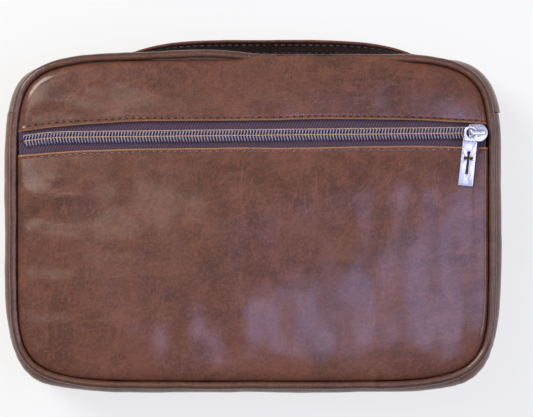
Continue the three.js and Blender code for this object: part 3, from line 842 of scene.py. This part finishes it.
def on_pull(local, lean, droop):
    """Tips a pull's points down about its eye by droop, turns them by lean, and moves them to the eye."""
    y, z = (local[:, 1] * math.cos(droop) - local[:, 2] * math.sin(droop),
            local[:, 1] * math.sin(droop) + local[:, 2] * math.cos(droop))
    x = local[:, 0]
    return EYE + np.c_[x * math.cos(lean) - y * math.sin(lean), x * math.sin(lean) + y * math.cos(lean), z]


def rounded_section(low, high, bevel, steps=4):
    """Insets and heights up the side of a plate, whose two edges are quarter circles."""
    a = np.linspace(0, math.pi / 2, steps + 1)
    inset = np.r_[bevel * (1 - np.sin(a)), bevel * (1 - np.cos(a))]
    return inset, np.r_[low + bevel * (1 - np.cos(a)), high - bevel * (1 - np.sin(a))]


def loop_normals(loop):
    along = unit(np.roll(loop, -1, axis=0) - np.roll(loop, 1, axis=0))
    return np.c_[along[:, 1], -along[:, 0]]


def corner_loop(corners, spacing=0.25 * MM):
    """Points spaced along a closed line through the corners, with every corner kept."""
    corners = np.asarray(corners, dtype=float)
    closed = np.vstack([corners, corners[:1]])
    along = np.r_[0, np.cumsum(np.linalg.norm(np.diff(closed, axis=0), axis=1))]
    at = np.unique(np.round(np.r_[np.arange(0, along[-1], spacing), along[:-1]], 7))
    return np.c_[np.interp(at, along, closed[:, 0]), np.interp(at, along, closed[:, 1])]


def plate(corners, low, high, bevel):
    """A plate with rounded edges: its outline, inset by each step of the section, at that step's height."""
    loop = corner_loop(corners)
    inset, height = rounded_section(low, high, bevel)
    flat = loop[None] - loop_normals(loop)[None] * inset[:, None, None]
    points = np.concatenate([flat, np.broadcast_to(height[:, None, None], flat.shape[:2] + (1,))], axis=-1)
    return points.reshape(-1, 3), tube_faces(len(height), len(loop))


def ray_points(angle, corners):
    """Where rays from the middle meet a closed line of corners: p + s e = r d gives r = (p x e) / (d x e)."""
    p = np.asarray(corners, dtype=float)
    e = np.roll(p, -1, axis=0) - p
    d = np.c_[np.cos(angle), np.sin(angle)]
    across = d[:, None, 0] * e[None, :, 1] - d[:, None, 1] * e[None, :, 0]
    across = np.where(np.abs(across) < 1e-12, 1e-12, across)
    r = (p[:, 0] * e[:, 1] - p[:, 1] * e[:, 0])[None] / across
    s = (p[None, :, 0] * d[:, None, 1] - p[None, :, 1] * d[:, None, 0]) / across
    r = np.where((s > -1e-6) & (s < 1 + 1e-6) & (r > 0), r, np.inf).min(axis=1)
    return d * r[:, None]


def holed_plate(middle, outer, inner, low, high, bevel):
    """A plate with a hole in it, both seen whole from its middle, with every edge rounded.

    Rays from the middle give matching points of the outline and the hole, and the section runs up the
    outline's side and down the hole's."""
    middle = np.asarray(middle)
    outer, inner = np.asarray(outer) - middle, np.asarray(inner) - middle
    corners = np.concatenate([outer, inner])
    angle = np.r_[np.linspace(-math.pi, math.pi, 200, endpoint=False), np.arctan2(corners[:, 1], corners[:, 0])]
    angle = np.unique(np.round(angle, 5))
    outside, inside = ray_points(angle, outer), ray_points(angle, inner)
    inset, height = rounded_section(low, high, bevel)
    up = outside[None] - loop_normals(outside)[None] * inset[:, None, None]
    down = inside[None] + loop_normals(inside)[None] * inset[::-1, None, None]
    flat = np.concatenate([up, down]) + middle
    z = np.broadcast_to(np.r_[height, height[::-1]][:, None, None], flat.shape[:2] + (1,))
    faces = grid_faces(flat.shape[0], flat.shape[1], wrap_rows=True, wrap_columns=True).tolist()
    return np.concatenate([flat, z], axis=-1).reshape(-1, 3), faces


def joined(parts):
    """One set of points and faces from several."""
    points, faces, first = [], [], 0
    for part_points, part_faces in parts:
        points.append(part_points)
        faces += [[corner + first for corner in face] for face in part_faces]
        first += len(part_points)
    return np.concatenate(points), faces


def rectangle(x0, y0, x1, y1):
    return np.array([(x0, y0), (x1, y0), (x1, y1), (x0, y1)]) * MM


def slider_parts():
    """A cast slider: two plates on a post, two side walls, a round cap end, and the bridge over its top."""
    turn = np.linspace(-1.28, 1.28, 30)
    cap = [(-4.6, -4.0), (-3.6, -4.6), (0, -4.7), *np.c_[0.4 + 4.9 * np.cos(turn), 4.9 * np.sin(turn)],
           (0, 4.7), (-3.6, 4.6), (-4.6, 4.0)]
    parts = [plate(np.array(cap) * MM, 3.1 * MM, 3.9 * MM, 0.36 * MM),
             plate(rectangle(-5.2, -4.1, 4.2, 4.1), -1.3 * MM, -0.6 * MM, 0.2 * MM),
             plate(rectangle(2.3, -0.6, 4.0, 0.6), -0.8 * MM, 3.3 * MM, 0.1 * MM)]
    for side in (-1, 1):
        low, high = sorted((side * 4.6, side * 3.9))
        parts.append(plate(rectangle(-4.2, low, 1.0, high), 1.1 * MM, 3.4 * MM, 0.15 * MM))
    t = np.linspace(0, 1, 12)[:, None]
    bend = lambda a, b, c: (1 - t)**2 * np.array(a) + 2 * t * (1 - t) * np.array(b) + t**2 * np.array(c)
    arch = np.concatenate([bend((-4.2, 6.2), (-4.2, 7.6), (-2.8, 7.6)), bend((2.6, 7.6), (4.4, 7.6), (4.6, 3.8)),
                           bend((3.3, 3.8), (3.4, 6.5), (2.2, 6.5)), bend((-2.4, 6.5), (-3.0, 6.5), (-3.0, 5.9)),
                           np.array([(-3.0, 3.8), (-4.2, 3.8)])]) * MM
    points, faces = plate(arch[::-1], -1.3 * MM, 1.3 * MM, 0.4 * MM)
    parts.append((points[:, [0, 2, 1]], faces))
    return joined(parts)


def pull_parts():
    """A flat pull: a round eye that runs into a straight tab, and a cross with flared ends cut through the tab."""
    turn = np.linspace(-0.25, math.pi + 0.25, 40)
    head = [*np.c_[3.72 * np.cos(turn), 3.72 * np.sin(turn)], (-3.75, -4.7), (3.75, -4.7)]
    circle = np.linspace(0, 2 * math.pi, 48, endpoint=False)
    eye = 2.2 * np.c_[np.cos(circle), np.sin(circle)]
    cross = np.array([(0.8, 3.5), (-0.8, 3.5), (-0.5, 0.5), (-2.3, 0.85), (-2.3, -0.85), (-0.5, -0.5),
                      (-0.75, -8.1), (0.75, -8.1), (0.5, -0.5), (2.3, -0.85), (2.3, 0.85), (0.5, 0.5)])
    tab = [(3.75, -4.4), (-3.75, -4.4), (-3.85, -27.5), (-3.95, -27.8), (3.95, -27.8), (3.85, -27.5)]
    return joined([
        holed_plate((0.0, 0.0), np.array(head) * MM, eye * MM, 0.0, 1.25 * MM, 0.4 * MM),
        holed_plate((0.0, -13.4 * MM), np.array(tab) * MM, (cross + [0, -13.4]) * MM, 0.05 * MM, 1.3 * MM, 0.2 * MM),
    ])


class BIBLECASE_OT_sliders(bpy.types.Operator):
    """Makes both zip sliders and their pulls"""

    bl_idname = "biblecase.sliders"
    bl_label = "Sliders and pulls"

    def execute(self, context):
        turns = {"pocket": (on_pocket_slider, math.radians(-5.8) - ZIP_TILT, 0.05),
                 "main": (on_main_slider, -math.pi / 2, 0.0)}
        for name, (place, lean, droop) in turns.items():
            points, faces = slider_parts()
            body = build(f"{name}_zip_slider", place(points), faces, f"{name}_slider",
                         material("nickel_plate"))
            points, faces = pull_parts()
            pull = build(f"{name}_zip_pull", place(on_pull(points, lean, droop)), faces, f"{name}_pull",
                         material("nickel_plate"))
            for piece, node in ((body, f"{name}_slider"), (pull, f"{name}_pull_tab")):
                piece.data.set_sharp_from_angle(angle=math.radians(38))
                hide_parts(node)
        return {"FINISHED"}


# ---- spine and handle ----------------------------------------------------------------------
def spine_face(x):
    """How far the spine's outer face lies from the piping's straight line, at x."""
    return HALF_Y * ((1 - np.abs(x / HALF_X) ** ROUNDNESS) ** (1 / ROUNDNESS) - 1) - 1.2 * MM


def on_handle(x, out, across):
    """Places a point of the handle: x along it, out from its outer face, across its width.

    The face bows out by 7.2 - 6.9 (x/80)^4 mm, but stays on the spine, and leans by 0.28 (1 - (x/75)^4)."""
    bow = (7.2 - 6.9 * np.abs(x / (80 * MM)) ** 4) * MM
    face = np.maximum(bow, spine_face(HANDLE_X + x) + 2.7 * MM)
    lean = 0.28 * np.clip(1 - np.abs(x / (75 * MM)) ** 4, 0, 1)
    y = face + out
    x, y, across, lean = np.broadcast_arrays(x, y, across, lean)
    return np.stack([HANDLE_X + x, HALF_Y + y * np.cos(lean) + across * np.sin(lean),
                     MID_Z + across * np.cos(lean) - y * np.sin(lean)], axis=-1)


# Half of the strap's cut: the brown leather runs over the outer face and wraps both edges.
STRAP_PROFILE = [
    (0.0, 0.0), (0.05, 5.0), (0.0, 8.8), (-0.2, 9.7), (-0.75, 10.05), (-1.35, 9.8), (-1.6, 9.1),
    (-1.3, 8.8), (-1.1, 8.9), (-0.8, 8.8), (-0.75, 5.0), (-0.7, 0.0),
]


def handle_sweep(name, profile, low, high, body, material_name):
    """Carries a closed profile of (out, across) points along the handle."""
    x = np.linspace(low, high, max(8, int((high - low) / (1.2 * MM))))
    across_wave = 0.15 * MM * waves(x, 41, longest=0.06)
    points = on_handle(x[:, None], profile[None, :, 0] + across_wave[:, None] * 0.6,
                       np.broadcast_to(profile[:, 1], (len(x), len(profile))))
    return build(name, points.reshape(-1, 3), tube_faces(len(x), len(profile)), body, material(material_name))


class BIBLECASE_OT_spine(bpy.types.Operator):
    """Makes the spine's leather, the handle with its dark lining, and its stitches"""

    bl_idname = "biblecase.spine"
    bl_label = "Spine and handle"

    def execute(self, context):
        self.make_spine()
        self.make_handle()
        return {"FINISHED"}

    def make_spine(self):
        points, out, distance = outline(1.0 * MM, side_angle(56.1 * MM, 1), side_angle(56.1 * MM, -1))
        low, high = SPINE_LOW[2], SPINE_HIGH[2]
        outer_z = np.linspace(low, high, 22)
        inner_z = outer_z[::-1]
        rise = 1 - np.abs(2 * (outer_z - low) / (high - low) - 1) ** 4
        edge = 0.5 * MM * (1 - rise**0.25)
        outer = np.c_[-1.2 * MM - edge, outer_z]
        inner = np.c_[np.full(22, -2.4 * MM), inner_z]
        profile = np.concatenate([outer, inner])
        reach = np.where(points[:, 0] > 0, 52 * MM, 34 * MM)
        corner = smooth_step(np.abs(points[:, 0]), HALF_X - reach, HALF_X)
        shaped = np.broadcast_to(profile, (len(points),) + profile.shape).copy()
        lift = np.r_[rise, rise[::-1]]
        swell = np.where(points[:, 0] > 0, 7.8 * MM, 6.8 * MM) * corner + 0.2 * MM * waves(distance, 51, longest=0.06)
        shaped[..., 0] += swell[:, None] * lift[None]
        vertices, faces = sweep(points, out, shaped)
        piece = build("spine_leather", vertices, faces, "spine", material("waxed_leather"))
        add_wear_and_highlight(piece, np.zeros(len(piece.data.vertices)))
        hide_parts("spine_panel")

    def make_handle(self):
        half = np.array(STRAP_PROFILE) * MM
        whole = np.concatenate([half, (half * np.array([1, -1]))[::-1][1:-1]])
        profile = smooth_profile(whole, 2)
        bottom = np.array([(-1.2, 8.8), (-1.5, 8.5), (-1.75, 0.0), (-1.5, -8.5), (-1.2, -8.8), (-1.1, 0.0)]) * MM
        lining = smooth_profile(bottom, 4)
        core = np.array([(-0.82, -7.4), (-0.82, 7.4), (-1.05, 7.4), (-1.05, -7.4)]) * MM
        ends = {"left": (-90 * MM, -0.0 * MM), "right": (0.0 * MM, 90 * MM)}
        for side, (low, high) in ends.items():
            strap = handle_sweep(f"handle_strap_{side}", profile, low, high, None, "waxed_leather")
            add_wear_and_highlight(strap, np.zeros(len(strap.data.vertices)))
            face = handle_sweep(f"handle_lining_{side}", lining, low, high, None,
                                "strap_lining_leather")
            board = handle_sweep(f"handle_board_{side}", core, low, high, None, "pressed_grey_board")
            pieces = [strap, face, board]
            x = np.arange(low + 3 * MM, high - 3 * MM, sizes().stitch_pitch)
            for row, across in (("top", 6.1 * MM), ("bottom", -6.1 * MM)):
                for cover, out in (("inner", -1.72 * MM), ("outer", 0.0)):
                    centres = on_handle(x, np.full(len(x), out), np.full(len(x), across))
                    ahead = on_handle(x + 0.2 * MM, np.full(len(x), out), np.full(len(x), across))
                    further = on_handle(x, np.full(len(x), out - 0.2 * MM if out else 0.2 * MM),
                                        np.full(len(x), across))
                    pieces.append(thread_stitches(f"handle_stitches_{cover}_{row}_{side}", centres,
                                                  unit(ahead - centres), unit(further - centres), None,
                                                  thread="pale_waxed_thread" if out else "waxed_thread"))
            for piece in pieces:
                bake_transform(piece)
            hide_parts(f"handle_end_{side}", *(["handle_strap"] if side == "left" else []))
            if side == "left":
                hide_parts("handle_lining")
                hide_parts("handle_core")


# ---- back cover, inside and book -----------------------------------------------------------
class BIBLECASE_OT_back_cover(bpy.types.Operator):
    """Makes the back cover's leather"""

    bl_idname = "biblecase.back_cover"
    bl_label = "Back cover"

    def execute(self, context):
        points, out, _ = outline(1.6 * MM, 0, 2 * math.pi)
        edge = (points - out * 2.3 * MM)[:-1]
        t = np.sin(np.linspace(0, math.pi / 2, 60))
        grid = edge[:, None, :] * t[None, :, None]
        from_edge = np.linalg.norm(edge[:, None, :] - grid, axis=-1)
        roll = np.clip(1 - from_edge / (4.0 * MM), 0, 1)
        height = 1.6 * MM * (1 - np.sqrt(np.clip(1 - roll**2, 0, 1)))
        height += 0.12 * MM * (1 + waves_2d(grid[..., 0], grid[..., 1], 61)) * smooth_step(from_edge, 3 * MM, 12 * MM)
        lower = np.concatenate([grid, height[..., None]], axis=-1)
        upper = lower[:, ::-1].copy()
        upper[..., 2] = np.maximum(upper[..., 2] + 0.3 * MM, 1.2 * MM)
        shell = np.concatenate([lower, upper], axis=1)
        faces = grid_faces(shell.shape[0], shell.shape[1], wrap_rows=True).tolist()
        piece = build("back_leather", shell.reshape(-1, 3), faces, "back_half",
                      material("waxed_leather"))
        add_wear_and_highlight(piece, np.zeros(len(piece.data.vertices)))
        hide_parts("back_panel")
        return {"FINISHED"}


class BIBLECASE_OT_inside(bpy.types.Operator):
    """Finishes the boards, linings, sleeves and cords inside the case"""

    bl_idname = "biblecase.inside"
    bl_label = "Inside"

    def execute(self, context):
        finishes = {
            "pressed_grey_board": ("front_stiffener", "back_stiffener", "spine_stiffener"),
            "woven_lining": ("front_lining", "back_lining", "front_sleeve", "back_sleeve", "spine_lining",
                             "pocket_back_panel", "front_piping_cord", "back_piping_cord"),
        }
        for name, nodes in finishes.items():
            for node in nodes:
                finish_node(node, name)
        return {"FINISHED"}


class BIBLECASE_OT_book(bpy.types.Operator):
    """Finishes the Bible inside the case"""

    bl_idname = "biblecase.book"
    bl_label = "Bible"

    def execute(self, context):
        finishes = {
            "bonded_book_leather": ("bible_front_cover", "bible_back_cover", "bible_spine"),
            "book_paper": ("text_block", "front_leaves"),
            "satin_ribbon": ("ribbon_marker",),
        }
        for name, nodes in finishes.items():
            for node in nodes:
                finish_node(node, name)
        return {"FINISHED"}


# ---- stage ---------------------------------------------------------------------------------
CAMERA_HEIGHT = 1.5
VIEW_WIDTH = 0.2779  # width of the picture at the front cover's height
IMAGE_CENTRE = (7.1 * MM, 6.45 * MM)


def area_light(name, place, target, size, energy, tint, shape="RECTANGLE", roll=0.0):
    """Adds a flat light of two side lengths that faces a target, turned about its own middle by roll."""
    lamp = bpy.data.lights.new(name, "AREA")
    lamp.shape = shape
    lamp.size, lamp.size_y = size
    lamp.energy = energy
    lamp.color = tint
    holder = bpy.data.objects.new(name, lamp)
    holder.location = place
    aim = Vector(target) - Vector(place)
    turn = aim.to_track_quat("-Z", "Y") @ Quaternion((0.0, 0.0, 1.0), roll)
    holder.rotation_euler = turn.to_euler()
    bpy.context.scene.collection.objects.link(holder)


class BIBLECASE_OT_stage(bpy.types.Operator):
    """Makes the pale floor, the studio light and the camera straight above"""

    bl_idname = "biblecase.stage"
    bl_label = "Stage"

    def execute(self, context):
        size = 3.0
        corners = [(-size, -size, 0), (size, -size, 0), (size, size, 0), (-size, size, 0)]
        mesh = bpy.data.meshes.new("floor")
        mesh.from_pydata([(x, y, -0.05 * MM) for x, y, _ in corners], [], [(0, 1, 2, 3)])
        made, tree, shader, where = new_material("pale_light_table")  # a lit white sheet
        cloud = noise(tree, where, 4.0, 2.0)
        tree.links.new(mix(tree, cloud, linear("#7c7c7c"), linear("#848484")), shader.inputs["Base Color"])
        shader.inputs["Roughness"].default_value = 0.9
        shader.inputs["Emission Color"].default_value = (1.0, 1.0, 1.0, 1.0)
        shader.inputs["Emission Strength"].default_value = 0.71
        mesh.materials.append(made)
        floor = bpy.data.objects.new("floor", mesh)
        context.scene.collection.objects.link(floor)

        world = bpy.data.worlds.new("studio")
        world.use_nodes = True
        world.node_tree.nodes["Background"].inputs["Color"].default_value = (1, 1, 1, 1)
        world.node_tree.nodes["Background"].inputs["Strength"].default_value = 0.32
        context.scene.world = world
        context.scene.view_settings.view_transform = "Standard"
        cool, warm = (0.64, 0.71, 1.0), (1.0, 0.93, 0.84)
        violet = (0.5, 0.52, 1.0)
        area_light("key", (-1.0, 0.9, 1.25), (0, 0, 0), (0.75, 0.75), 24, (1.0, 0.95, 0.88))
        area_light("side", (1.2, -0.1, 0.8), (0, 0, 0), (0.6, 0.6), 6, cool)
        area_light("window", (0.25, -0.12, 1.6), (0.1, -0.05, 0), (0.46, 0.17), 1.5, violet, "ELLIPSE", 0.35)
        area_light("edge_window", (0.62, -0.05, 1.5), (0, 0, 0), (0.32, 0.5), 2.6, violet)
        area_light("slanting_window", (0.03, -0.18, 1.6), (0.015, -0.06, 0), (0.2, 0.06), 0.5, violet,
                   "ELLIPSE", 1.05)
        area_light("warm_window", (-0.55, 0.3, 1.5), (0, 0, 0), (0.35, 0.5), 2.4, warm)
        area_light("warm_patch", (-0.2, 0.07, 1.6), (-0.1, 0.03, 0), (0.14, 0.22), 0.26, warm, "ELLIPSE")

        camera = bpy.data.objects.new("camera", bpy.data.cameras.new("camera"))
        camera.location = (*IMAGE_CENTRE, FRONT_TOP + CAMERA_HEIGHT)
        camera.data.sensor_width = 36.0
        camera.data.lens = 36.0 * CAMERA_HEIGHT / VIEW_WIDTH
        camera.data.clip_end = 20.0
        context.scene.collection.objects.link(camera)
        context.scene.camera = camera
        return {"FINISHED"}


# ---- add-on --------------------------------------------------------------------------------
OPERATORS = (
    BIBLECASE_OT_stage, BIBLECASE_OT_front_cover, BIBLECASE_OT_piping, BIBLECASE_OT_gusset,
    BIBLECASE_OT_pocket_zip, BIBLECASE_OT_main_zip, BIBLECASE_OT_sliders, BIBLECASE_OT_spine,
    BIBLECASE_OT_back_cover, BIBLECASE_OT_inside, BIBLECASE_OT_book,
)


class BIBLECASE_PT_panel(bpy.types.Panel):
    """Lists the case's sizes, colours and pieces"""

    bl_label = "Bible case"
    bl_idname = "BIBLECASE_PT_panel"
    bl_space_type = "VIEW_3D"
    bl_region_type = "UI"
    bl_category = "Bible case"

    def draw(self, context):
        for group in (context.scene.case_sizes, context.scene.case_colours):
            for name in group.__annotations__:
                self.layout.prop(group, name)
        for operator in OPERATORS:
            self.layout.operator(operator.bl_idname)


CLASSES = (CaseSizes, CaseColours, *OPERATORS, BIBLECASE_PT_panel)


def register():
    for made in CLASSES:
        bpy.utils.register_class(made)
    bpy.types.Scene.case_sizes = PointerProperty(type=CaseSizes)
    bpy.types.Scene.case_colours = PointerProperty(type=CaseColours)


def unregister():
    del bpy.types.Scene.case_colours
    del bpy.types.Scene.case_sizes
    for made in reversed(CLASSES):
        bpy.utils.unregister_class(made)


def main():
    register()
    for operator in OPERATORS:
        group, name = operator.bl_idname.split(".")
        getattr(getattr(bpy.ops, group), name)()


if __name__ == "__main__":
    main()
